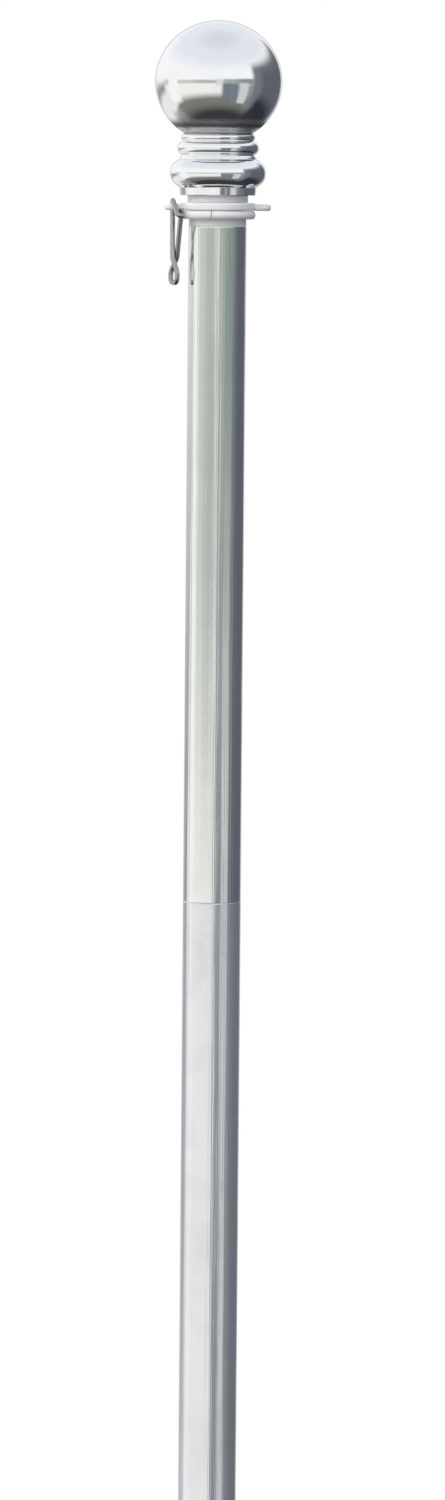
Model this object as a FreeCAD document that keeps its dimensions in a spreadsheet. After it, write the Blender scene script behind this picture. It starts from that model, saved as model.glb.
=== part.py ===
import FreeCAD, Part
import math
import os
import Sketcher

# Sectional flag pole: five push-together 1 inch steel tubes, a hollow ball finial, and a spinning
# flag ring with a wire clip at each end of the flag's hoist. Millimetres, +Z up, origin at the
# centre of the butt's end face.

V = FreeCAD.Vector
SECTIONS = 5

os.makedirs("parts", exist_ok=True)
doc = FreeCAD.newDocument("flag_pole")
sheet = doc.addObject("Spreadsheet::Sheet", "Sizes")

SIZES = {
    # tubes and the sleeves that join them
    "pole_radius": 12.7,
    "pole_wall": 0.8,
    "pole_bore": "=pole_radius - pole_wall",
    "section_length": 295,
    "edge_break": 0.3,
    "ferrule_half": 55,
    "ferrule_wall": 1.4,
    "ferrule_gap": 0.15,
    "ferrule_lead": 1.5,
    "cap_flange": 3,
    "cap_depth": 18,
    "cap_wall": 1.8,
    "cap_round": 0.8,
    # top bushing, from the bottom of its spigot
    "spigot_length": 28,
    "spigot_wall": 2.3,
    "collar_radius": 12.5,
    "collar_high": 3.1,
    "barrel_radius": 12,
    "barrel_high": 7.2,
    "neck_radius": 13.2,
    "neck_high": 3.1,
    "stud_hole": 4.3,
    "nut_pocket_floor": 16,
    "nut_flats": 13,
    "nut_thick": 6.5,
    "nut_bore": 4,
    "nut_play": 0.1,
    # flag rings
    "ring_radius": 16.4,
    "ring_thick": 3.35,
    "ring_round": 0.8,
    "ring_play": 0.35,
    "ring_base": 6.85,
    "ear_reach": 19.6,
    "ear_radius": 3.6,
    "ear_thick": 2.85,
    "ear_round": 1.2,
    "ear_hole": 1.5,
    "split_inner": 12.05,
    "split_outer": 15.6,
    "split_curve": 2.12,
    "split_thick": 3.6,
    "split_sweep": 356.5,
    # stop collars of the lower ring
    "stop_bore": 12.95,
    "stop_radius": 15.8,
    "stop_high": 8,
    "stop_break": 0.8,
    "stop_gap": 0.25,
    "screw_radius": 2,
    "screw_length": 2.6,
    "socket_flats": 2,
    "socket_depth": 1.4,
    "hoist_length": 914,
    # finial, from the bottom of its skirt
    "finial_bore": 13.3,
    "skirt_foot": 16.5,
    "skirt_radius": 16.8,
    "skirt_break": 0.2,
    "skirt_high": 3.3,
    "lip_radius": 17.6,
    "lip_high": 4,
    "bead_curve": 6.45,
    "bead_end_radius": 16.9,
    "bead_end_high": 15.65,
    "fillet_radius": 16.6,
    "fillet_high": 16.6,
    "low_groove_radius": 15.9,
    "low_groove_high": 17.6,
    "small_bead_curve": 3.18,
    "high_groove_radius": 15.4,
    "high_groove_high": 23.6,
    "top_bead_curve": 1.85,
    "ball_foot_radius": 14.8,
    "ball_foot_high": 26.9,
    "ball_radius": 27.75,
    "ball_centre": 49.35,
    "ball_low_curve": 26.02,
    "ball_high_curve": 26.62,
    "ball_top": 75.95,
    "shell_wall": 1.2,
    "cavity_top": 74.75,
    "cavity_foot": 27.44,
    "parting_turn": 12,
    "stud_radius": 3.95,
    "stud_length": 50,
    "stud_below": 28,
    "plug_radius": 13.25,
    "plug_high": 20,
    # wire clip: across it, along its face and up, from the hole of the ear
    "wire_radius": 1.1,
    "clip_turn": -66,
    "clip_wide": 9.9,
    "clip_waist": 2.7,
    "clip_waist_low": 13.6,
    "clip_cross": 1.2,
    "clip_eye": 2,
    "clip_eye_half": 3.9,
    "clip_eye_low": 20.2,
    "clip_foot_half": 3.3,
    "clip_low": 24.6,
    "clip_arch": 11.05,
    "clip_hook": 12,
    "clip_hook_high": 4.6,
    "clip_latch": 2.8,
}


def fill_sheet():
    for row, (alias, content) in enumerate(SIZES.items(), start=1):
        cell = "A%d" % row
        sheet.set(cell, str(content))
        sheet.setAlias(cell, alias)
    doc.recompute()


def terms(text):
    """The signed terms of a sum written with spaces, such as 'pole_bore - cap_wall'."""
    sign = 1
    for token in text.split():
        if token in "+-":
            sign = 1 if token == "+" else -1
        else:
            yield sign, token


def size(text):
    """The value of a sum of cell names and plain numbers."""
    total = 0.0
    for sign, token in terms(text):
        total += sign * (float(sheet.get(token)) if token in SIZES else float(token))
    return total


def bound(text):
    """The same sum as an expression that reads the sheet."""
    return " + ".join(
        "(%d) * %s" % (sign, "Sizes." + token if token in SIZES else token)
        for sign, token in terms(text)
    )


def bind(item, prop, text):
    item.setExpression(prop, bound(text))


# --- sketches -----------------------------------------------------------------------------------


def new_body(label, z=0.0, turn=0.0):
    body = doc.addObject("PartDesign::Body", label)
    body.Label = label
    body.Placement = FreeCAD.Placement(V(0, 0, z), FreeCAD.Rotation(V(0, 0, 1), turn))
    return body


def new_sketch(body, name, role):
    plane = next(f for f in body.Origin.OriginFeatures if f.Role == role)
    sketch = body.newObject("Sketcher::SketchObject", name)
    sketch.AttachmentSupport = [(plane, "")]
    sketch.MapMode = "FlatFace"
    return sketch


def hold(sketch, kind, geometry, end, text):
    """Hold one end of an edge, or a circle's centre, at a distance from the origin along one axis."""
    if text == "0":
        axis = -2 if kind == "DistanceX" else -1
        sketch.addConstraint(Sketcher.Constraint("PointOnObject", geometry, end, axis))
        return
    index = sketch.addConstraint(
        Sketcher.Constraint(kind, -1, 1, geometry, end, size(text))
    )
    name = "%s_%d" % (kind, index)
    sketch.renameConstraint(index, name)
    bind(sketch, "Constraints." + name, text)


def hold_radius(sketch, geometry, text):
    index = sketch.addConstraint(Sketcher.Constraint("Radius", geometry, size(text)))
    name = "Radius_%d" % index
    sketch.renameConstraint(index, name)
    bind(sketch, "Constraints." + name, text)


def bulging_arc(start, end, radius):
    """An anticlockwise arc between two points that bulges away from the sketch's vertical axis."""
    chord = end - start
    across = V(chord.y, -chord.x, 0).normalize()
    if across.x < 0:
        across = -across
    rise = radius - math.sqrt(radius**2 - (chord.Length / 2) ** 2)
    middle = (start + end) / 2 + across * rise
    if chord.x * across.y - chord.y * across.x > 0:
        start, end = end, start
    return Part.Arc(start, middle, end)


def outline(sketch, points):
    """A closed outline. A point is (x, y), or (x, y, radius) where an arc leads on to the next."""
    places = [V(size(p[0]), size(p[1]), 0) for p in points]
    starts = []
    ends = []
    for i, point in enumerate(points):
        here = places[i]
        there = places[(i + 1) % len(points)]
        if len(point) == 3:
            edge = bulging_arc(here, there, size(point[2]))
        else:
            edge = Part.LineSegment(here, there)
        index = sketch.addGeometry(edge, False)
        kept = sketch.Geometry[index]
        forward = kept.StartPoint.distanceToPoint(here) < kept.EndPoint.distanceToPoint(here)
        starts.append((index, 1 if forward else 2))
        ends.append((index, 2 if forward else 1))
    for i, point in enumerate(points):
        geometry, end = starts[i]
        sketch.addConstraint(Sketcher.Constraint("Coincident", *ends[i - 1], geometry, end))
        hold(sketch, "DistanceX", geometry, end, point[0])
        hold(sketch, "DistanceY", geometry, end, point[1])
        if len(point) == 3:
            hold_radius(sketch, geometry, point[2])


def circle(sketch, x, y, radius):
    centre = V(size(x), size(y), 0)
    index = sketch.addGeometry(Part.Circle(centre, V(0, 0, 1), size(radius)), False)
    hold(sketch, "DistanceX", index, 3, x)
    hold(sketch, "DistanceY", index, 3, y)
    hold_radius(sketch, index, radius)


def revolve(body, sketch, name, sweep):
    feature = body.newObject("PartDesign::Revolution", name)
    feature.Profile = sketch
    feature.ReferenceAxis = (sketch, ["V_Axis"])
    bind(feature, "Angle", sweep)
    body.Tip = feature


def turned(label, points, z=0.0, turn=0.0, sweep="360"):
    """A body turned about Z from an outline of (radius, height) points."""
    body = new_body(label, z, turn)
    sketch = new_sketch(body, label + "_outline", "XZ_Plane")
    outline(sketch, points)
    revolve(body, sketch, label + "_turned", sweep)
    return body


def padded(body, sketch, name, length):
    feature = body.newObject("PartDesign::Pad", name)
    feature.Profile = sketch
    bind(feature, "Length", length)
    body.Tip = feature
    return feature


def pocketed(body, sketch, name, length, reverse):
    """A pocket, which has to take material away from the body."""
    doc.recompute()
    before = body.Shape.Volume
    feature = body.newObject("PartDesign::Pocket", name)
    feature.Profile = sketch
    feature.Reversed = reverse
    bind(feature, "Length", length)
    body.Tip = feature
    doc.recompute()
    if body.Shape.Volume >= before - 0.1:
        raise RuntimeError(name + " cuts nothing")


# --- pole ---------------------------------------------------------------------------------------


def make_section(number):
    base = "cap_flange" if number == 1 else "0"
    length = "section_length - " + base
    z = size("section_length") * (number - 1) + size(base)
    return turned(
        "pole_section_%d" % number,
        [
            ("pole_bore", "0"),
            ("pole_radius - edge_break", "0"),
            ("pole_radius", "edge_break"),
            ("pole_radius", length + " - edge_break"),
            ("pole_radius - edge_break", length),
            ("pole_bore", length),
        ],
        z,
    )


def make_ferrule(number):
    """Sleeve pressed into the top of one section; the next section slides over its upper half."""
    slim = "pole_bore - ferrule_gap"
    top = "ferrule_half + ferrule_half"
    return turned(
        "ferrule_%d" % number,
        [
            ("pole_bore - ferrule_wall", "0"),
            ("pole_bore - edge_break", "0"),
            ("pole_bore", "edge_break"),
            ("pole_bore", "ferrule_half - edge_break"),
            (slim, "ferrule_half - edge_break"),
            (slim, top + " - ferrule_lead"),
            (slim + " - edge_break", top),
            ("pole_bore - ferrule_wall", top),
        ],
        size("section_length") * number - size("ferrule_half"),
    )


def make_butt_cap():
    inner = "pole_bore - cap_wall"
    return turned(
        "butt_cap",
        [
            ("0", "0"),
            ("pole_radius - cap_round", "0"),
            ("pole_radius", "cap_round"),
            ("pole_radius", "cap_flange"),
            ("pole_bore", "cap_flange"),
            ("pole_bore", "cap_depth"),
            (inner, "cap_depth"),
            (inner, "cap_flange"),
            ("0", "cap_flange"),
        ],
    )


# --- top bushing --------------------------------------------------------------------------------


def make_top_bushing(tube_top):
    shoulder = "spigot_length + collar_high"
    barrel_top = shoulder + " + barrel_high"
    top = barrel_top + " + neck_high"
    inner = "pole_bore - spigot_wall"
    body = turned(
        "top_bushing",
        [
            (inner, "0"),
            ("pole_bore - edge_break", "0"),
            ("pole_bore", "edge_break"),
            ("pole_bore", "spigot_length"),
            ("collar_radius", "spigot_length"),
            ("collar_radius", shoulder),
            ("barrel_radius", shoulder),
            ("barrel_radius", barrel_top),
            ("neck_radius", barrel_top),
            ("neck_radius", top),
            ("stud_hole", top),
            ("stud_hole", "nut_pocket_floor"),
            (inner, "nut_pocket_floor"),
        ],
        tube_top - size("spigot_length"),
    )
    sketch = new_sketch(body, "nut_pocket_outline", "XY_Plane")
    bind(sketch, "AttachmentOffset.Base.z", "nut_pocket_floor")
    hexagon(sketch, "nut_flats + nut_play")
    pocketed(body, sketch, "nut_pocket", "nut_thick", True)
    return body


def hexagon(sketch, flats):
    """A regular hexagon about the origin, sized by its circumscribed circle."""
    reach = size(flats) / math.sqrt(3)
    corners = [V(reach * math.cos(a), reach * math.sin(a), 0) for a in angles(6)]
    rim = sketch.addGeometry(Part.Circle(V(0, 0, 0), V(0, 0, 1), reach), True)
    sketch.addConstraint(Sketcher.Constraint("Coincident", rim, 3, -1, 1))
    first = rim + 1
    for i in range(6):
        sketch.addGeometry(Part.LineSegment(corners[i], corners[(i + 1) % 6]), False)
    for i in range(6):
        following = first + (i + 1) % 6
        sketch.addConstraint(Sketcher.Constraint("Coincident", first + i, 2, following, 1))
        sketch.addConstraint(Sketcher.Constraint("PointOnObject", first + i, 1, rim))
        if i:
            sketch.addConstraint(Sketcher.Constraint("Equal", first, first + i))
    sketch.addConstraint(Sketcher.Constraint("PointOnObject", first, 1, -1))
    index = sketch.addConstraint(Sketcher.Constraint("Radius", rim, reach))
    sketch.renameConstraint(index, "Reach")
    sketch.setExpression("Constraints.Reach", "(%s) / sqrt(3)" % bound(flats))


def angles(count):
    return [2 * math.pi * i / count for i in range(count)]


def make_bushing_nut(tube_top):
    prism = doc.addObject("Part::Prism", "nut_blank")
    prism.Polygon = 6
    prism.setExpression("Circumradius", "(%s) / sqrt(3)" % bound("nut_flats"))
    bind(prism, "Height", "nut_thick")
    hole = doc.addObject("Part::Cylinder", "nut_hole")
    bind(hole, "Radius", "nut_bore")
    bind(hole, "Height", "nut_thick")
    nut = doc.addObject("Part::Cut", "bushing_nut")
    nut.Label = "bushing_nut"
    nut.Base = prism
    nut.Tool = hole
    nut.Placement.Base = V(0, 0, tube_top - size("spigot_length - nut_pocket_floor"))
    return nut


# --- flag rings ---------------------------------------------------------------------------------


def edges_at(feature, test):
    """Names of the edges whose middle point passes the test."""
    names = []
    for number, edge in enumerate(feature.Shape.Edges, start=1):
        middle = edge.valueAt((edge.FirstParameter + edge.LastParameter) / 2)
        if test(middle):
            names.append("Edge%d" % number)
    return names


def make_flag_ring(label, inside, z):
    """Ring with an ear on each side; each ear has an upright hole for a clip."""
    body = new_body(label, z)
    ears = new_sketch(body, label + "_ears", "XY_Plane")
    reach = size("ear_reach")
    half = size("ear_radius")
    top = ears.addGeometry(Part.LineSegment(V(reach, half, 0), V(-reach, half, 0)), False)
    left = ears.addGeometry(
        Part.Arc(V(-reach, half, 0), V(-reach - half, 0, 0), V(-reach, -half, 0)), False
    )
    low = ears.addGeometry(Part.LineSegment(V(-reach, -half, 0), V(reach, -half, 0)), False)
    right = ears.addGeometry(
        Part.Arc(V(reach, -half, 0), V(reach + half, 0, 0), V(reach, half, 0)), False
    )
    for (a, a_end), (b, b_end) in (
        ((top, 2), (left, 1)),
        ((left, 2), (low, 1)),
        ((low, 2), (right, 1)),
        ((right, 2), (top, 1)),
    ):
        ears.addConstraint(Sketcher.Constraint("Tangent", a, a_end, b, b_end))
    ears.addConstraint(Sketcher.Constraint("Symmetric", left, 3, right, 3, -1, 1))
    ears.addConstraint(Sketcher.Constraint("Horizontal", top))
    hold(ears, "DistanceX", right, 3, "ear_reach")
    hold_radius(ears, right, "ear_radius")
    pad = padded(body, ears, label + "_ear_pad", "ear_thick")
    doc.recompute()
    levels = (0, size("ear_thick"))
    rim = edges_at(pad, lambda p: any(abs(p.z - level) < 1e-6 for level in levels))
    rounds = body.newObject("PartDesign::Fillet", label + "_rounds")
    rounds.Base = (pad, rim)
    bind(rounds, "Radius", "ear_round")
    body.Tip = rounds
    disc = new_sketch(body, label + "_disc", "XZ_Plane")
    outline(
        disc,
        [
            ("0", "0"),
            ("ring_radius - ring_round", "0", "ring_round"),
            ("ring_radius", "ring_round"),
            ("ring_radius", "ring_thick - ring_round", "ring_round"),
            ("ring_radius - ring_round", "ring_thick"),
            ("0", "ring_thick"),
        ],
    )
    revolve(body, disc, label + "_disc_turned", "360")
    holes = new_sketch(body, label + "_holes", "XY_Plane")
    circle(holes, "0", "0", inside)
    circle(holes, "ear_reach", "0", "ear_hole")
    circle(holes, "0 - ear_reach", "0", "ear_hole")
    pocketed(body, holes, label + "_bores", "ring_thick", True)
    return body


def make_retaining_ring(tube_top):
    """Split ring snapped on the barrel, with its gap towards the front left."""
    gap_at = -90 - 9.8
    turn = gap_at + (360 - size("split_sweep")) / 2
    return turned(
        "retaining_ring",
        [
            ("split_inner", "0"),
            ("split_outer", "0", "split_curve"),
            ("split_outer", "split_thick"),
            ("split_inner", "split_thick"),
        ],
        tube_top + size("collar_high"),
        turn,
        "split_sweep",
    )


def make_collar(label, z):
    """Stop collar with a radial hole for its set screw."""
    body = turned(
        label,
        [
            ("stop_bore", "0"),
            ("stop_radius - stop_break", "0"),
            ("stop_radius", "stop_break"),
            ("stop_radius", "stop_high - stop_break"),
            ("stop_radius - stop_break", "stop_high"),
            ("stop_bore", "stop_high"),
        ],
        z,
    )
    sketch = new_sketch(body, label + "_screw_hole", "YZ_Plane")
    index = sketch.addGeometry(
        Part.Circle(V(0, size("stop_high") / 2, 0), V(0, 0, 1), size("screw_radius")), False
    )
    hold(sketch, "DistanceX", index, 3, "0")
    middle = sketch.addConstraint(
        Sketcher.Constraint("DistanceY", -1, 1, index, 3, size("stop_high") / 2)
    )
    sketch.renameConstraint(middle, "Middle")
    sketch.setExpression("Constraints.Middle", "Sizes.stop_high / 2")
    hold_radius(sketch, index, "screw_radius")
    pocketed(body, sketch, label + "_tapped_hole", "stop_radius", True)
    return body


def make_set_screws(heights):
    screws = []
    for number, z in enumerate(heights, start=1):
        along_x = FreeCAD.Rotation(V(0, 0, 1), V(1, 0, 0))
        outer = size("stop_bore + screw_length")
        shank = doc.addObject("Part::Cylinder", "screw_shank_%d" % number)
        bind(shank, "Radius", "screw_radius")
        bind(shank, "Height", "screw_length")
        shank.Placement = FreeCAD.Placement(V(size("stop_bore"), 0, z), along_x)
        socket = doc.addObject("Part::Prism", "screw_socket_%d" % number)
        socket.Polygon = 6
        socket.setExpression("Circumradius", "(%s) / sqrt(3)" % bound("socket_flats"))
        bind(socket, "Height", "socket_depth")
        socket.Placement = FreeCAD.Placement(
            V(outer - size("socket_depth"), 0, z), along_x
        )
        screw = doc.addObject("Part::Cut", "set_screw_%d" % number)
        screw.Base = shank
        screw.Tool = socket
        screws.append(screw)
    group = doc.addObject("Part::Compound", "set_screws")
    group.Label = "set_screws"
    group.Links = screws
    return group


# --- clips --------------------------------------------------------------------------------------


def bent_path(stops):
    """Straight runs between the stops, joined by tangent arcs of each stop's own radius."""
    edges = []
    start = stops[0][0]
    for i in range(1, len(stops) - 1):
        corner, radius = stops[i]
        back = (stops[i - 1][0] - corner).normalize()
        ahead = (stops[i + 1][0] - corner).normalize()
        turn = math.pi - back.getAngle(ahead)
        reach = radius * math.tan(turn / 2)
        inward = (back + ahead).normalize()
        first = corner + back * reach
        last = corner + ahead * reach
        middle = corner + inward * (radius / math.cos(turn / 2) - radius)
        edges.append(Part.LineSegment(start, first).toShape())
        edges.append(Part.Arc(first, middle, last).toShape())
        start = last
    edges.append(Part.LineSegment(start, stops[-1][0]).toShape())
    return Part.Wire(edges)


def clip_stops():
    """Bends of the wire, from the straight end of the front leg round to the hook that latches it.

    Each is (across the clip, out of its face, height), then the bend's radius.
    """
    waist = size("clip_waist")
    waist_low = -size("clip_waist_low")
    cross = size("clip_cross")
    eye = size("clip_eye")
    half = size("clip_eye_half")
    eye_low = -size("clip_eye_low")
    foot = size("clip_foot_half")
    low = -size("clip_low")
    arch = size("clip_arch")
    hook = size("clip_hook")
    hook_high = size("clip_hook_high")
    return [
        ((size("clip_wide"), -0.1, 7.5), 0),
        ((waist - 0.3, cross, waist_low), 6),
        ((eye - half, 0.1, eye_low), 5),
        ((eye - foot, 0, low), 2.6),
        ((eye + foot, 0, low), 2.6),
        ((eye + half, -0.1, eye_low), 5),
        ((waist + 0.3, -cross, waist_low), 6),
        ((0, 0, 4), 10),
        ((0, 0, arch), 1.7),
        ((4.2, -1.7, arch), 2.5),
        ((hook, -size("clip_latch"), hook_high), 1.4),
        ((hook, -0.2, hook_high - 0.1), 0),
    ]


def make_clip(label, z):
    """Spring wire clip: one wire, hooked through the left ear, crossed at its waist."""
    turn = FreeCAD.Rotation(V(0, 0, 1), size("clip_turn"))
    ear = V(-size("ear_reach"), 0, z)
    stops = [(ear + turn.multVec(V(*place)), radius) for place, radius in clip_stops()]
    path = doc.addObject("Part::Feature", label + "_path")
    path.Shape = bent_path(stops)
    section = doc.addObject("Part::Circle", label + "_section")
    bind(section, "Radius", "wire_radius")
    heading = stops[1][0] - stops[0][0]
    section.Placement = FreeCAD.Placement(stops[0][0], FreeCAD.Rotation(V(0, 0, 1), heading))
    clip = doc.addObject("Part::Sweep", label)
    clip.Label = label
    clip.Sections = [section]
    clip.Spine = (path, ["Edge%d" % (i + 1) for i in range(len(path.Shape.Edges))])
    clip.Solid = True
    clip.Frenet = False
    doc.recompute()
    wanted = path.Shape.Length * math.pi * size("wire_radius") ** 2
    if abs(clip.Shape.Volume - wanted) > 0.02 * wanted:
        raise RuntimeError("%s: volume %.1f, not %.1f" % (label, clip.Shape.Volume, wanted))
    return clip


# --- finial -------------------------------------------------------------------------------------


def make_finial_half(label, z, turn):
    """Half of the moulded ball, beads and skirt, on one side of the upright parting plane."""
    return turned(
        label,
        [
            ("finial_bore", "0"),
            ("skirt_foot - skirt_break", "0"),
            ("skirt_foot", "skirt_break"),
            ("skirt_radius", "skirt_high"),
            ("lip_radius", "lip_high", "bead_curve"),
            ("bead_end_radius", "bead_end_high"),
            ("fillet_radius", "fillet_high"),
            ("low_groove_radius", "low_groove_high", "small_bead_curve"),
            ("high_groove_radius", "high_groove_high", "top_bead_curve"),
            ("ball_foot_radius", "ball_foot_high", "ball_low_curve"),
            ("ball_radius", "ball_centre", "ball_high_curve"),
            ("0", "ball_top"),
            ("0", "cavity_top", "ball_high_curve - shell_wall"),
            ("ball_radius - shell_wall", "ball_centre", "ball_low_curve - shell_wall"),
            ("finial_bore", "cavity_foot"),
        ],
        z,
        turn,
        "180",
    )


def make_finial_plug(z):
    return turned(
        "finial_plug",
        [
            ("stud_radius", "0"),
            ("plug_radius", "0"),
            ("plug_radius", "plug_high"),
            ("stud_radius", "plug_high"),
        ],
        z,
    )


def make_finial_stud(z):
    return turned(
        "finial_stud",
        [
            ("0", "0"),
            ("stud_radius - stop_break", "0"),
            ("stud_radius", "stop_break"),
            ("stud_radius", "stud_length - stop_break"),
            ("stud_radius - stop_break", "stud_length"),
            ("0", "stud_length"),
        ],
        z - size("stud_below"),
    )


# --- assembly -----------------------------------------------------------------------------------


def make_pole():
    pieces = [make_butt_cap()]
    for number in range(1, SECTIONS + 1):
        pieces.append(make_section(number))
    for number in range(1, SECTIONS):
        pieces.append(make_ferrule(number))
    return pieces


def make_top(tube_top):
    skirt = tube_top + size("collar_high + barrel_high + neck_high")
    parting = size("parting_turn") - 90
    return [
        make_top_bushing(tube_top),
        make_bushing_nut(tube_top),
        make_retaining_ring(tube_top),
        make_flag_ring(
            "upper_flag_ring", "barrel_radius + ring_play", tube_top + size("ring_base")
        ),
        make_clip("upper_clip", tube_top),
        make_finial_half("finial_shell_right", skirt, parting),
        make_finial_half("finial_shell_left", skirt, parting + 180),
        make_finial_plug(skirt),
        make_finial_stud(skirt),
    ]


def make_lower_ring(datum):
    ring = datum + size("ring_base")
    below = ring - size("stop_gap + stop_high")
    above = ring + size("ring_thick + stop_gap")
    half = size("stop_high") / 2
    return [
        make_flag_ring("lower_flag_ring", "pole_radius + ring_play", ring),
        make_clip("lower_clip", datum),
        make_collar("collar_below", below),
        make_collar("collar_above", above),
        make_set_screws([below + half, above + half]),
    ]


def write(pieces):
    doc.recompute()
    for item in doc.Objects:
        if "Invalid" in item.State or "Error" in item.State:
            raise RuntimeError("%s: %s" % (item.Label, item.State))
    for piece in pieces:
        shape = piece.Shape
        if shape.isNull() or not shape.isValid():
            raise RuntimeError(piece.Label + " has no valid shape")
        shape.exportStep("parts/%s.step" % piece.Label)
        print("%-20s %d solid(s) %10.1f mm3" % (piece.Label, len(shape.Solids), shape.Volume))


fill_sheet()
tube_top = size("section_length") * SECTIONS
write(make_pole() + make_top(tube_top) + make_lower_ring(tube_top - size("hoist_length")))
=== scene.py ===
"""Looks for a sectional flag pole: chromed ball finial, flag rings, wire clips, steel tubes."""

import math

import bmesh
import bpy
from mathutils import Matrix, Vector


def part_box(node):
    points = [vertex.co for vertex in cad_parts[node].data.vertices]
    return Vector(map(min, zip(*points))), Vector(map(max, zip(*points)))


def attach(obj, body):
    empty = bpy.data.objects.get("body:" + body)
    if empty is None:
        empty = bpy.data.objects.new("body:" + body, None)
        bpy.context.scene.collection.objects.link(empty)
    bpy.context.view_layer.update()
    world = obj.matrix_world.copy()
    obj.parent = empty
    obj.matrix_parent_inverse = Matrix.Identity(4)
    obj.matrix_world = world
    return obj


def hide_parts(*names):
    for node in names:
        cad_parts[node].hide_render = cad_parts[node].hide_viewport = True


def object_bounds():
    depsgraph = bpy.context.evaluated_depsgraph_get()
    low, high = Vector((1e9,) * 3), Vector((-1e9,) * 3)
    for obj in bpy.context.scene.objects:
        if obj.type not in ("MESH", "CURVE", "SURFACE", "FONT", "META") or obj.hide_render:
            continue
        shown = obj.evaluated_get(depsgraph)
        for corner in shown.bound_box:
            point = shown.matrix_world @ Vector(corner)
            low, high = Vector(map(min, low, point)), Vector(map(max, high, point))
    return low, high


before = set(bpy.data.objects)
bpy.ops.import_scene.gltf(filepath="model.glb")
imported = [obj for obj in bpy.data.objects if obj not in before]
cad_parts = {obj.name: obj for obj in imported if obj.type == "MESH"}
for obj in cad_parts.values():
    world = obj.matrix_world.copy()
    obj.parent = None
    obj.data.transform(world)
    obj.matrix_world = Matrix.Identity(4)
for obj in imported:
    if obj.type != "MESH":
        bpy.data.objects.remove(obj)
CAD_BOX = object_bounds()

MM = 0.001
SECTIONS = 5
TUBE_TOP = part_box("pole_section_5")[1].z
POLE_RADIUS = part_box("pole_section_5")[1].x
SEGMENTS = 160

scene = bpy.context.scene
scene.view_settings.view_transform = "Standard"


# --- shader nodes -------------------------------------------------------------------------------

# Depths of bumps, and how much a layer adds to the roughness.
SCRATCH_DEPTH = 0.02 * MM
DRAWN_DEPTH = 0.22 * MM
MOULD_GRAIN = 0.02 * MM
GRAIN_ROUGHENS = 0.5
FLOW_ROUGHENS = 0.12

# How far red, green and blue light spread inside the white plastic.
GLOW_REACH = (4 * MM, 4 * MM, 5 * MM)

# Rubbed lengths at a tube's two ends in mm, and the roughness added there.
RUBBED_FOOT = 35
RUBBED_HEAD = 20
RUBBED_ROUGHENS = 0.03

# Painted shade under the ball, a dark band laid on the chrome: where it starts, thickens and ends,
# in mm above the finial's foot, how strong it is before it thickens, and what it does to the
# chrome.
PAINTED_SHADE_EDGES = ((26.8, 27.4), (29.2, 30.2), (30.6, 34.2))
PAINTED_SHADE_THIN = 0.45
PAINTED_SHADE_UNEVEN = 0.8 * MM
PAINTED_SHADE_COLOUR = (0.12, 0.12, 0.125, 1.0)
PAINTED_SHADE_HIDES = 0.65
PAINTED_SHADE_ROUGHENS = 0.45


class Tree:
    """Short calls for building a node tree."""

    def __init__(self, tree):
        self.tree = tree
        tree.nodes.clear()

    def put(self, socket, value):
        if hasattr(value, "is_output"):
            self.tree.links.new(value, socket)
        else:
            socket.default_value = value

    def node(self, kind, inputs=None, **settings):
        made = self.tree.nodes.new("ShaderNode" + kind)
        for name, value in settings.items():
            setattr(made, name, value)
        for key, value in (inputs or {}).items():
            self.put(made.inputs[key], value)
        return made

    def math(self, operation, *values):
        return self.node("Math", dict(enumerate(values)), operation=operation).outputs[0]

    def smooth(self, value, low, high, start=0.0, end=1.0):
        """start below low, end above high, and a smooth step between."""
        made = self.node("MapRange", interpolation_type="SMOOTHSTEP")
        for key, number in zip(("Value", 1, 2, 3, 4), (value, low, high, start, end)):
            self.put(made.inputs[key], number)
        return made.outputs[0]

    def mix(self, factor, a, b):
        made = self.node("Mix", data_type="RGBA")
        self.put(made.inputs[0], factor)
        self.put(made.inputs[6], a)
        self.put(made.inputs[7], b)
        return made.outputs[2]

    def coordinates(self, stretch=(1, 1, 1)):
        place = self.node("TexCoord").outputs["Object"]
        scaled = self.node("Mapping", {"Vector": place, "Scale": stretch})
        return scaled.outputs[0]

    def height(self):
        place = self.node("TexCoord").outputs["Object"]
        return self.node("SeparateXYZ", {0: place}).outputs["Z"]

    def noise(self, vector, scale, detail=2.0, roughness=0.5, distortion=0.0):
        made = self.node(
            "TexNoise",
            {
                "Vector": vector,
                "Scale": scale,
                "Detail": detail,
                "Roughness": roughness,
                "Distortion": distortion,
            },
        )
        return made.outputs["Fac"]

    def bump(self, height, distance, strength=1.0, normal=None):
        inputs = {"Height": height, "Distance": distance, "Strength": strength}
        if normal is not None:
            inputs["Normal"] = normal
        return self.node("Bump", inputs).outputs[0]


def paint(red, green, blue):
    """A linear colour from display values of 0 to 255."""

    def linear(value):
        value /= 255
        return value / 12.92 if value <= 0.04045 else ((value + 0.055) / 1.055) ** 2.4

    return (linear(red), linear(green), linear(blue), 1.0)


def new_material(name):
    material = bpy.data.materials.new(name)
    material.use_nodes = True
    tree = Tree(material.node_tree)
    shader = tree.node("BsdfPrincipled")
    output = tree.node("OutputMaterial")
    tree.put(output.inputs["Surface"], shader.outputs[0])
    return material, tree, shader


def fed_by(socket):
    """What is linked into an input."""
    return socket.links[0].from_socket


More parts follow.
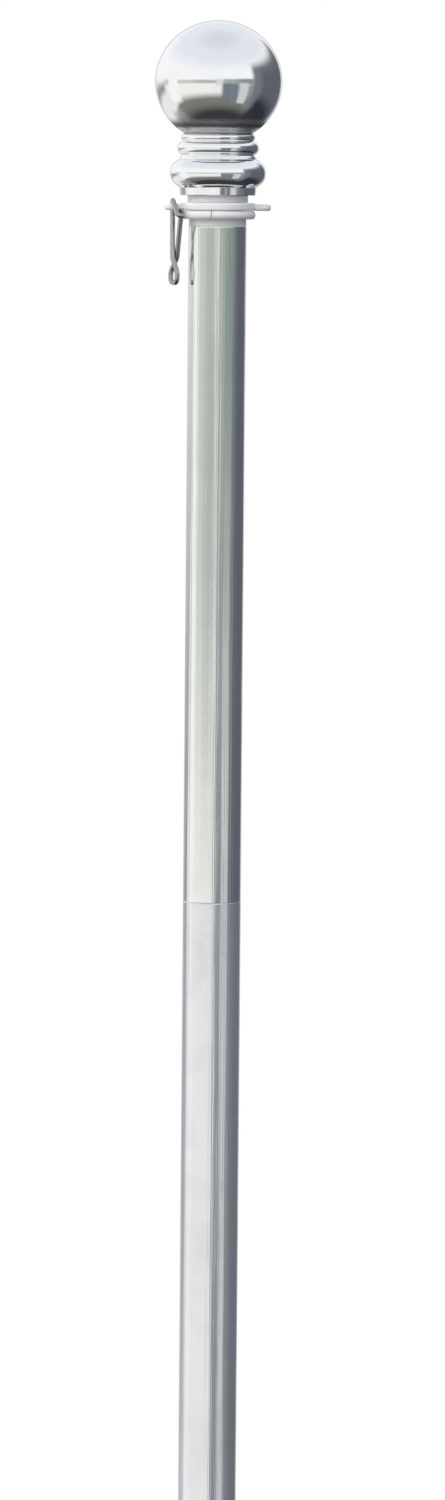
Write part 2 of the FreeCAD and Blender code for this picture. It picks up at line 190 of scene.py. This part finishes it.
def metal_layers(name, colour, worn, rough, rough_worn, wave=0.0, lines=0.0, haze=0.0):
    """A metal with smudges, hairline scratches, drawing lines along Z and slight waviness.

    Gives the material with its tree and shader, so that more can be laid over it.
    """
    material, tree, shader = new_material(name)
    plain = tree.coordinates()
    blots = tree.noise(plain, scale=38.0, detail=5.0, roughness=0.62, distortion=0.6)
    smudge = tree.smooth(blots, 0.42, 0.68)
    grain = tree.noise(tree.coordinates((1, 1, 0.02)), scale=2600.0, detail=3.0, roughness=0.6)
    hairs = tree.noise(
        tree.coordinates((1, 1, 0.12)), scale=700.0, detail=1.0, roughness=0.4, distortion=2.5
    )
    scratches = tree.smooth(hairs, 0.66, 0.72)
    shader.inputs["Metallic"].default_value = 1.0 - haze
    tree.put(shader.inputs["Base Color"], tree.mix(smudge, colour, worn))
    smudged = tree.math("MULTIPLY_ADD", smudge, rough_worn - rough, rough)
    streaked = tree.math("MULTIPLY_ADD", grain, rough * GRAIN_ROUGHENS, smudged)
    tree.put(shader.inputs["Roughness"], streaked)
    normal = None
    if wave:
        ripple = tree.noise(plain, scale=55.0, detail=2.0, roughness=0.5)
        normal = tree.bump(ripple, wave)
    if lines:
        normal = tree.bump(grain, lines, normal=normal)
    normal = tree.bump(scratches, SCRATCH_DEPTH, 0.25, normal)
    tree.put(shader.inputs["Normal"], normal)
    return material, tree, shader


def metal(name, colour, worn, rough, rough_worn, lines=0.0):
    """A metal with nothing more laid over it."""
    return metal_layers(name, colour, worn, rough, rough_worn, lines=lines)[0]


def plastic(name, colour, shade, rough, glow=0.0):
    """A moulded plastic: faint flow marks, a fine grain and, with a glow, some translucency."""
    material, tree, shader = new_material(name)
    plain = tree.coordinates()
    swirl = tree.noise(plain, scale=120.0, detail=3.0, roughness=0.55, distortion=1.2)
    flow = tree.smooth(swirl, 0.35, 0.7)
    fine = tree.noise(plain, scale=5200.0, detail=2.0, roughness=0.6)
    tree.put(shader.inputs["Base Color"], tree.mix(flow, colour, shade))
    tree.put(shader.inputs["Roughness"], tree.math("MULTIPLY_ADD", flow, FLOW_ROUGHENS, rough))
    shader.inputs["Subsurface Weight"].default_value = glow
    shader.inputs["Subsurface Radius"].default_value = GLOW_REACH
    shader.inputs["Subsurface Scale"].default_value = 1.0
    tree.put(shader.inputs["Normal"], tree.bump(fine, MOULD_GRAIN, 0.5))
    return material


def chrome_metal(name, foot):
    """Mirror chrome with painted shade under the ball: a dark band that also makes the chrome
    rougher and less metallic there.
    """
    material, tree, shader = metal_layers(
        name, (0.94, 0.95, 0.96, 1), (0.90, 0.91, 0.93, 1), 0.02, 0.05, wave=0.03 * MM
    )
    uneven = tree.noise(tree.coordinates(), scale=240.0, detail=3.0, roughness=0.6)
    height = tree.math("ADD", tree.height(), tree.math("MULTIPLY", uneven, PAINTED_SHADE_UNEVEN))
    starts, thickens, ends = ([foot + edge * MM for edge in edges] for edges in PAINTED_SHADE_EDGES)
    above = tree.smooth(height, *starts)
    thick = tree.smooth(height, *thickens, PAINTED_SHADE_THIN, 1.0)
    below = tree.smooth(height, *ends, 1.0, 0.0)
    # Painted shade: this band darkens the chrome's colour under the ball and dulls its reflection
    # there.
    painted_shade = tree.math("MULTIPLY", above, tree.math("MULTIPLY", thick, below))
    shaded_base = tree.mix(painted_shade, fed_by(shader.inputs["Base Color"]), PAINTED_SHADE_COLOUR)
    tree.put(shader.inputs["Base Color"], shaded_base)
    bare = tree.math("SUBTRACT", 1.0, tree.math("MULTIPLY", painted_shade, PAINTED_SHADE_HIDES))
    tree.put(shader.inputs["Metallic"], bare)
    dulled = tree.math("MULTIPLY", painted_shade, PAINTED_SHADE_ROUGHENS)
    rough = tree.math("ADD", fed_by(shader.inputs["Roughness"]), dulled)
    tree.put(shader.inputs["Roughness"], rough)
    return material


def tube_metal(name, node, colour, worn, rough, haze):
    """Tube metal that is duller close to its ends, where the sections rub and are handled."""
    foot, head = (corner.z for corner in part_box(node))
    material, tree, shader = metal_layers(
        name, colour, worn, rough, rough * 1.7, wave=0.02 * MM, lines=0.004 * MM, haze=haze
    )
    height = tree.height()
    rings = tree.noise(tree.coordinates((0.2, 0.2, 1)), scale=900.0, detail=2.0, roughness=0.6)
    near_foot = tree.smooth(height, foot, foot + RUBBED_FOOT * MM, 1.0, 0.0)
    near_head = tree.smooth(height, head - RUBBED_HEAD * MM, head)
    near = tree.math("MAXIMUM", near_foot, near_head)
    rubbed = tree.math("MULTIPLY", near, tree.smooth(rings, 0.45, 0.7))
    under = fed_by(shader.inputs["Roughness"])
    duller = tree.math("MULTIPLY_ADD", rubbed, RUBBED_ROUGHENS, under)
    tree.put(shader.inputs["Roughness"], duller)
    broad = tree.noise(tree.coordinates((1, 1, 0.004)), scale=420.0, detail=3.0, roughness=0.6)
    fine = tree.noise(tree.coordinates((1, 1, 0.006)), scale=1500.0, detail=2.0, roughness=0.5)
    streaks = tree.math("ADD", broad, tree.math("MULTIPLY", fine, 0.35))
    under = fed_by(shader.inputs["Normal"])
    tree.put(shader.inputs["Normal"], tree.bump(streaks, DRAWN_DEPTH, normal=under))
    return material


# --- surroundings -------------------------------------------------------------------------------

# The dome is pale low down. Each tone fades in between two heights, in degrees above the horizon,
# and the floor's cloth fades out between two. Straight behind, by the direction's Y, it is grey.
DOME_LOW = paint(252, 252, 252)
DOME_TONES = (((16.0, 46.0), paint(232, 236, 243)), ((52.0, 82.0), paint(218, 222, 227)))
CLOTH_EDGE = (-9.0, -1.0)
CLOTH_COLOUR = paint(150, 151, 153)
BEHIND_EDGE = (0.84, 1.0)
BEHIND_COLOUR = paint(212, 214, 217)

# Soft cards round the object, later ones in front of earlier ones: degrees round from the front
# (right is positive), degrees above the horizon, softness of the side and level edges, colour.
CARDS = (
    # pale wall of the studio, front left, and the grey floor cloth in front of it
    ((-118, 7), (-34, -3.6), (6, 2), paint(246, 245, 240)),
    ((-168, -104), (-34, 0), (10, 8), paint(236, 236, 236)),
    ((-100, 66), (-66, -27), (12, 9), paint(122, 125, 117)),
    # grey-green band at eye height, darker to the right
    ((-118, -14), (-4, 2), (10, 1.8), paint(203, 208, 201)),
    ((-46, 8), (-4, 2), (14, 1.8), paint(181, 188, 181)),
    ((8, 66), (-5, 4), (4, 2.4), paint(166, 177, 171)),
    ((36, 70), (-5, 4), (12, 2.4), paint(136, 148, 143)),
    # a narrow flag and a strip of light beside it, front right
    ((8, 36), (-34, -4), (3, 3), paint(120, 127, 135)),
    ((39, 57), (-40, -3), (3, 2.5), paint(208, 209, 212)),
    ((-4, 6), (-9, 4), (2.5, 3), paint(226, 225, 224)),
    # strip light, far left, and the grey corner behind it
    ((-104, -80), (-30, 20), (4, 5), paint(251, 251, 250)),
    ((-158, -116), (-11, -2), (6, 4), paint(156, 157, 160)),
    # large dark flag to the right
    ((66, 154), (-72, 26), (6, 8), paint(116, 121, 127)),
    ((86, 150), (-66, 16), (8, 10), paint(94, 98, 108)),
    ((80, 158), (-64, -24), (8, 10), paint(48, 51, 57)),
    # dark floor close to the pole
    ((-200, 200), (-95, -52), (4, 12), paint(56, 58, 60)),
)


def card_mask(tree, directions, edges, softness):
    """1 inside a card and 0 outside it, with a soft step at each of its four edges."""
    mask = 1.0
    for value, (low, high), soft in zip(directions, edges, softness):
        rise = tree.smooth(value, low - soft, low + soft)
        fall = tree.smooth(value, high - soft, high + soft, 1.0, 0.0)
        mask = tree.math("MULTIPLY", mask, tree.math("MULTIPLY", rise, fall))
    return mask


def build_world():
    """Soft studio: a pale dome and soft-edged cards for the metal; the camera itself sees white."""
    world = bpy.data.worlds.new("studio")
    scene.world = world
    world.use_nodes = True
    tree = Tree(world.node_tree)
    direction = tree.node("TexCoord").outputs["Generated"]
    parts = tree.node("SeparateXYZ", {0: direction}).outputs
    front = tree.math("MULTIPLY", parts["Y"], -1.0)
    to_degrees = 180 / math.pi
    turn = tree.math("MULTIPLY", tree.math("ARCTAN2", parts["X"], front), to_degrees)
    rise = tree.math("MULTIPLY", tree.math("ARCSINE", parts["Z"]), to_degrees)
    colour = DOME_LOW
    for edge, tone in DOME_TONES:
        colour = tree.mix(tree.smooth(rise, *edge), colour, tone)
    cloth = tree.smooth(rise, *CLOTH_EDGE, 1.0, 0.0)
    colour = tree.mix(cloth, colour, CLOTH_COLOUR)
    for across, up, softness, card_colour in CARDS:
        mask = card_mask(tree, (turn, rise), (across, up), softness)
        colour = tree.mix(mask, colour, card_colour)
    behind = tree.smooth(parts["Y"], *BEHIND_EDGE)
    colour = tree.mix(behind, colour, BEHIND_COLOUR)
    seen = tree.node("Background", {"Color": colour, "Strength": 1.0})
    plain = tree.node("Background", {"Color": (1, 1, 1, 1), "Strength": 1.0})
    path = tree.node("LightPath").outputs["Is Camera Ray"]
    both = tree.node("MixShader", {0: path, 1: seen.outputs[0], 2: plain.outputs[0]})
    output = tree.node("OutputWorld")
    tree.put(output.inputs["Surface"], both.outputs[0])


# The floor, in m: its radius, its gap under the pole, and where it fades to white.
FLOOR_RADIUS = 9.0
FLOOR_GAP = 0.5 * MM
FLOOR_FADE = (0.8, 4.5)


def build_floor():
    """A pale floor that fades into the white surroundings."""
    bpy.ops.mesh.primitive_circle_add(vertices=96, radius=FLOOR_RADIUS, fill_type="NGON")
    floor = bpy.context.object
    floor.name = "floor"
    floor.location.z = CAD_BOX[0].z - FLOOR_GAP
    material = bpy.data.materials.new("floor_paint")
    material.use_nodes = True
    tree = Tree(material.node_tree)
    place = tree.node("TexCoord").outputs["Object"]
    away = tree.node("VectorMath", {0: place}, operation="LENGTH").outputs["Value"]
    speckle = tree.noise(place, scale=160.0, detail=3.0, roughness=0.6)
    tint = tree.mix(speckle, paint(232, 231, 228), paint(240, 239, 237))
    matt = tree.node("BsdfDiffuse", {"Color": tint})
    white = tree.node("Emission", {"Color": (1, 1, 1, 1)})
    fade = tree.smooth(away, *FLOOR_FADE)
    both = tree.node("MixShader", {0: fade, 1: matt.outputs[0], 2: white.outputs[0]})
    tree.put(tree.node("OutputMaterial").inputs["Surface"], both.outputs[0])
    floor.data.materials.append(material)
    floor.visible_glossy = False
    floor.visible_diffuse = False


# One light, in m and W.
LIGHT_PLACE = (-2.2, -3.0, 4.2)
LIGHT_AIM = (0, 0, 1.2)
LIGHT_SIZE = 2.4
LIGHT_POWER = 75.0


def build_light():
    """One large soft light, high at the front left."""
    data = bpy.data.lights.new("soft_light", "AREA")
    data.shape = "DISK"
    data.size = LIGHT_SIZE
    data.energy = LIGHT_POWER
    light = bpy.data.objects.new("soft_light", data)
    scene.collection.objects.link(light)
    light.location = LIGHT_PLACE
    aim = Vector(LIGHT_AIM) - light.location
    light.rotation_euler = aim.to_track_quat("-Z", "Y").to_euler()
    light.visible_glossy = False


# The camera, in m, mm and degrees.
CAMERA_DISTANCE = 3.17
CAMERA_RIGHT = 4.1 * MM
CAMERA_ABOVE_TOP = 11.4 * MM
CAMERA_TILT = 4.33
CAMERA_ROLL = 0.49
LENS = 174.3
SENSOR = 36.0


def build_camera():
    """Long lens just above the tube's top, tilted down and rolled by half a degree."""
    data = bpy.data.cameras.new("camera")
    data.sensor_fit = "VERTICAL"
    data.sensor_height = SENSOR
    data.sensor_width = SENSOR
    data.lens = LENS
    data.clip_start = 0.05
    data.clip_end = 60.0
    camera = bpy.data.objects.new("camera", data)
    scene.collection.objects.link(camera)
    camera.location = (CAMERA_RIGHT, -CAMERA_DISTANCE, TUBE_TOP + CAMERA_ABOVE_TOP)
    facing = Matrix.Rotation(math.pi / 2 - math.radians(CAMERA_TILT), 4, "X")
    roll = Matrix.Rotation(math.radians(CAMERA_ROLL), 4, "Z")
    camera.rotation_euler = (facing @ roll).to_euler()
    scene.camera = camera


# --- meshes -------------------------------------------------------------------------------------

JOIN_DISTANCE = 1e-7
ARC_STEP = 0.45


def link_mesh(name, vertices, faces, sharp=30.0):
    """A smooth-shaded mesh object with edges sharper than an angle, in degrees, left hard."""
    mesh = bpy.data.meshes.new(name)
    mesh.from_pydata(vertices, [], faces)
    joined = bmesh.new()
    joined.from_mesh(mesh)
    bmesh.ops.remove_doubles(joined, verts=joined.verts, dist=JOIN_DISTANCE)
    bmesh.ops.recalc_face_normals(joined, faces=joined.faces)
    joined.to_mesh(mesh)
    joined.free()
    mesh.shade_smooth()
    mesh.set_sharp_from_angle(angle=math.radians(sharp))
    piece = bpy.data.objects.new(name, mesh)
    scene.collection.objects.link(piece)
    return piece


def finish_with(piece, material):
    piece.data.materials.clear()
    piece.data.materials.append(material)


def place_piece(piece, material, body, node):
    """A new mesh that rides a body in place of a CAD node."""
    finish_with(piece, material)
    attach(piece, body)
    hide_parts(node)


def arc_points(start, end, radius, steps):
    """Points from start to end, without the end, on an arc that bulges away from the axis."""
    chord = end - start
    across = Vector((chord.y, -chord.x)).normalized()
    if across.x < 0:
        across.negate()
    depth = math.sqrt(radius**2 - (chord.length / 2) ** 2)
    centre = (start + end) / 2 - across * depth
    first = start - centre
    total = first.angle_signed(end - centre)
    points = []
    for i in range(steps):
        turn = -total * i / steps
        turned = Matrix.Rotation(turn, 2) @ first
        points.append(centre + turned)
    return points


def outline_points(stops):
    """Points of an outline. A stop is (radius, height) or (radius, height, arc radius) in mm."""
    points = []
    for i, stop in enumerate(stops):
        here = Vector(stop[:2]) * MM
        there = Vector(stops[(i + 1) % len(stops)][:2]) * MM
        if len(stop) == 3:
            steps = max(6, int((there - here).length / (ARC_STEP * MM)))
            points += arc_points(here, there, stop[2] * MM, steps)
        else:
            points.append(here)
    return points


def wall_faces(first, second, count):
    """Faces between two rings of count points that start at two vertex numbers."""
    faces = []
    for i in range(count):
        k = (i + 1) % count
        faces.append((first + i, first + k, second + k, second + i))
    return faces


def lathe(name, points, z, segments=SEGMENTS, start=0.0, sweep=2 * math.pi):
    """A closed (radius, height) outline turned about the Z axis, capped if the sweep is partial."""
    whole = sweep > 2 * math.pi - 1e-6
    rings = segments if whole else segments + 1
    count = len(points)
    vertices = []
    for j in range(rings):
        angle = start + sweep * j / segments
        c = math.cos(angle)
        s = math.sin(angle)
        vertices += [(p.x * c, p.x * s, z + p.y) for p in points]
    faces = []
    for j in range(segments):
        faces += wall_faces(j * count, ((j + 1) % rings) * count, count)
    if not whole:
        faces.append(tuple(range(count)))
        faces.append(tuple(range((rings - 1) * count, rings * count)))
    return link_mesh(name, vertices, faces)


# --- pieces -------------------------------------------------------------------------------------

# The finial's outline and measures in mm, above its foot.
FINIAL_OUTSIDE = (
    (13.3, 0.25),
    (13.55, 0),
    (16.3, 0),
    (16.5, 0.2),
    (16.8, 3.3),
    (17.6, 4, 6.45),
    (16.9, 15.65),
    (16.6, 16.6),
    (15.9, 17.6, 3.18),
    (15.4, 23.6, 1.85),
    (14.8, 26.9),
)
BALL_RADIUS = 27.75
BALL_HALF_HEIGHT = 26.6
BALL_CENTRE = 49.35
SHELL_WALL = 1.2
CHAMBER_FOOT = 27.44
BALL_STEPS = 110
CHAMBER_STEPS = 60

# The parting line: degrees round from the front, and a groove that fades out from the plane.
PARTING_TURN = 12
GROOVE_DEPTH = 0.014
GROOVE_SHARES = (1.0, 0.25)
HALF_TURN_STEPS = 140
EDGE_TURNS = [0.0, 0.003, 0.008]

# A nick in the groove where the large bead meets the skirt.
NICK_HEIGHT = 4.0
NICK_HALF_LENGTH = 1.1
NICK_DEPTH = 0.4


def ball_arc(wall, low, steps):
    """The ball's slightly flattened round, from a height above its skirt up to the pole."""
    points = []
    across = BALL_RADIUS - wall
    high = BALL_HALF_HEIGHT - wall
    first = math.asin((low - BALL_CENTRE) / high)
    for i in range(steps + 1):
        angle = first + (math.pi / 2 - first) * i / steps
        radius = across * math.cos(angle)
        points.append(Vector((max(radius, 0.0), BALL_CENTRE + high * math.sin(angle))) * MM)
    return points


def groove_depth(height):
    """Depth of the parting groove at a height, deeper at the nick."""
    nick = max(0.0, 1.0 - abs(height / MM - NICK_HEIGHT) / NICK_HALF_LENGTH)
    return (GROOVE_DEPTH + NICK_DEPTH * nick**0.5) * MM


def half_shell(name, points, outer_count, foot, start):
    """Half of the finial, with its outer edges eased along the parting plane."""
    turns = EDGE_TURNS + [math.pi * i / HALF_TURN_STEPS for i in range(1, HALF_TURN_STEPS)]
    turns += [math.pi - turn for turn in reversed(EDGE_TURNS)]
    count = len(points)
    vertices = []
    for j, turn in enumerate(turns):
        edge = min(j, len(turns) - 1 - j)
        angle = start + turn
        for i, p in enumerate(points):
            radius = p.x
            if i < outer_count and edge < len(GROOVE_SHARES):
                radius = max(0.0, radius - groove_depth(p.y) * GROOVE_SHARES[edge])
            vertices.append((radius * math.cos(angle), radius * math.sin(angle), foot + p.y))
    faces = []
    for j in range(len(turns) - 1):
        faces += wall_faces(j * count, (j + 1) * count, count)
    faces.append(tuple(range(count)))
    faces.append(tuple(range((len(turns) - 1) * count, len(turns) * count)))
    return link_mesh(name, vertices, faces)


def build_finial(chrome):
    """Two chromed half shells that meet in an upright parting line, with a fine groove along it."""
    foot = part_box("finial_shell_left")[0].z
    neck = outline_points(FINIAL_OUTSIDE)
    outside = neck[:-1] + ball_arc(0.0, FINIAL_OUTSIDE[-1][1], BALL_STEPS)
    inside = ball_arc(SHELL_WALL, CHAMBER_FOOT, CHAMBER_STEPS)
    inside.reverse()
    points = outside + inside
    parting = math.radians(PARTING_TURN - 90)
    for side, turn in (("right", 0.0), ("left", math.pi)):
        shell = half_shell("finial_" + side, points, len(outside), foot, parting + turn)
        place_piece(shell, chrome, "finial", "finial_shell_" + side)


# Tube ends in mm. The support ring keeps the shading of the rounded edge off the long wall.
TUBE_WALL = 0.8
OUTER_BREAK = 0.3
INNER_BREAK = 0.15
SUPPORT_RING = 0.6


def build_tubes(polished, satin):
    """Drawn tubes with small rounded breaks on both ends."""
    outer = POLE_RADIUS / MM
    for number in range(1, SECTIONS + 1):
        node = "pole_section_%d" % number
        low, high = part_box(node)
        length = (high.z - low.z) / MM
        stops = (
            (outer - TUBE_WALL, INNER_BREAK),
            (outer - TUBE_WALL + INNER_BREAK, 0),
            (outer - OUTER_BREAK, 0, OUTER_BREAK),
            (outer, OUTER_BREAK),
            (outer, SUPPORT_RING),
            (outer, length - SUPPORT_RING),
            (outer, length - OUTER_BREAK, OUTER_BREAK),
            (outer - OUTER_BREAK, length),
            (outer - TUBE_WALL + INNER_BREAK, length),
            (outer - TUBE_WALL, length - INNER_BREAK),
        )
        tube = lathe("tube_%d" % number, outline_points(stops), low.z)
        body = "butt" if number == 1 else "section_%d" % number
        top = number == SECTIONS
        place_piece(tube, polished if top else satin[number], body, node)


# The split ring's gap: degrees round from the right, and its width in degrees.
GAP_TURN = -99.8
GAP_WIDTH = 1.1
RING_SEGMENTS = 150


def build_retaining_ring(white):
    """Split ring with a bulging rim, eased edges and a hairline gap at the front left."""
    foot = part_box("retaining_ring")[0].z
    stops = (
        (12.3, 0),
        (15.35, 0, 0.35),
        (15.6, 0.12, 2.0),
        (15.6, 3.48, 0.35),
        (15.35, 3.6),
        (12.3, 3.6),
        (12.05, 3.35),
        (12.05, 0.25),
    )
    gap = math.radians(GAP_WIDTH)
    start = math.radians(GAP_TURN) + gap / 2
    sweep = 2 * math.pi - gap
    ring = lathe("split_ring", outline_points(stops), foot, RING_SEGMENTS, start, sweep)
    place_piece(ring, white, "section_5", "retaining_ring")


# The stud's thread in mm, the mesh's steps, and the angle in degrees that stays a hard edge.
THREAD_PITCH = 1.25
THREAD_DEPTH = 0.55
CHAMFER = 0.9
CHAMFER_SLOPE = 0.9
ROWS_PER_PITCH = 8
STUD_STEPS = 48
THREAD_SHARP = 24.0


def build_stud(zinc):
    """Threaded rod: a helical ridge that fades out at both chamfered ends."""
    low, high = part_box("finial_stud")
    length = high.z - low.z
    pitch = THREAD_PITCH * MM
    rows = round(length / pitch * ROWS_PER_PITCH)
    vertices = [(0.0, 0.0, low.z)]
    for row in range(rows + 1):
        height = low.z + length * row / rows
        end = min(height - low.z, high.z - height)
        crest = high.x - max(0.0, CHAMFER * MM - end) * CHAMFER_SLOPE
        for step in range(STUD_STEPS):
            turn = 2 * math.pi * step / STUD_STEPS
            phase = ((height - low.z) / pitch - step / STUD_STEPS) % 1.0
            groove = THREAD_DEPTH * MM * (1 - abs(2 * phase - 1))
            radius = min(crest, high.x - groove)
            vertices.append((radius * math.cos(turn), radius * math.sin(turn), height))
    top = len(vertices)
    vertices.append((0.0, 0.0, high.z))
    faces = []
    for row in range(rows):
        first = 1 + row * STUD_STEPS
        faces += wall_faces(first, first + STUD_STEPS, STUD_STEPS)
    last = 1 + rows * STUD_STEPS
    for step in range(STUD_STEPS):
        after = (step + 1) % STUD_STEPS
        faces.append((0, 1 + after, 1 + step))
        faces.append((last + step, last + after, top))
    stud = link_mesh("threaded_stud", vertices, faces, THREAD_SHARP)
    place_piece(stud, zinc, "finial", "finial_stud")


def dress(node, material):
    """A CAD node whose shape stays, with its own finish."""
    finish_with(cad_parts[node], material)


# --- scene --------------------------------------------------------------------------------------

build_world()
build_floor()
build_light()
build_camera()

chrome = chrome_metal("chrome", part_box("finial_shell_left")[0].z)
wire = metal(
    "wire_steel", (0.44, 0.435, 0.42, 1), (0.31, 0.305, 0.295, 1), 0.2, 0.32, lines=0.01 * MM
)
sleeve = metal("sleeve_steel", (0.56, 0.57, 0.58, 1), (0.44, 0.44, 0.45, 1), 0.28, 0.42)
zinc = metal("zinc_steel", (0.64, 0.65, 0.67, 1), (0.50, 0.51, 0.55, 1), 0.24, 0.38)
polished = tube_metal(
    "polished_tube",
    "pole_section_%d" % SECTIONS,
    (0.92, 0.93, 0.92, 1),
    (0.88, 0.89, 0.885, 1),
    rough=0.03,
    haze=0.0,
)
satin = {}
for number in range(1, SECTIONS):
    satin[number] = tube_metal(
        "satin_tube_%d" % number,
        "pole_section_%d" % number,
        (0.87, 0.885, 0.91, 1),
        (0.83, 0.845, 0.87, 1),
        rough=0.085,
        haze=0.17,
    )
white = plastic("white_plastic", (0.93, 0.93, 0.96, 1), (0.88, 0.88, 0.92, 1), 0.3, 0.35)
grey = plastic("grey_plastic", (0.40, 0.41, 0.42, 1), (0.34, 0.35, 0.36, 1), 0.45)
black = plastic("black_plastic", (0.035, 0.035, 0.038, 1), (0.05, 0.05, 0.052, 1), 0.5)

build_finial(chrome)
build_tubes(polished, satin)
build_retaining_ring(white)
build_stud(zinc)

MOULDED = ("top_bushing", "upper_flag_ring", "lower_flag_ring", "collar_above", "collar_below")
FERRULES = ["ferrule_%d" % number for number in range(1, SECTIONS)]
for material, nodes in (
    (white, MOULDED),
    (wire, ("upper_clip", "lower_clip")),
    (sleeve, FERRULES),
    (zinc, ("bushing_nut", "set_screws")),
    (grey, ("finial_plug",)),
    (black, ("butt_cap",)),
):
    for node in nodes:
        dress(node, material)
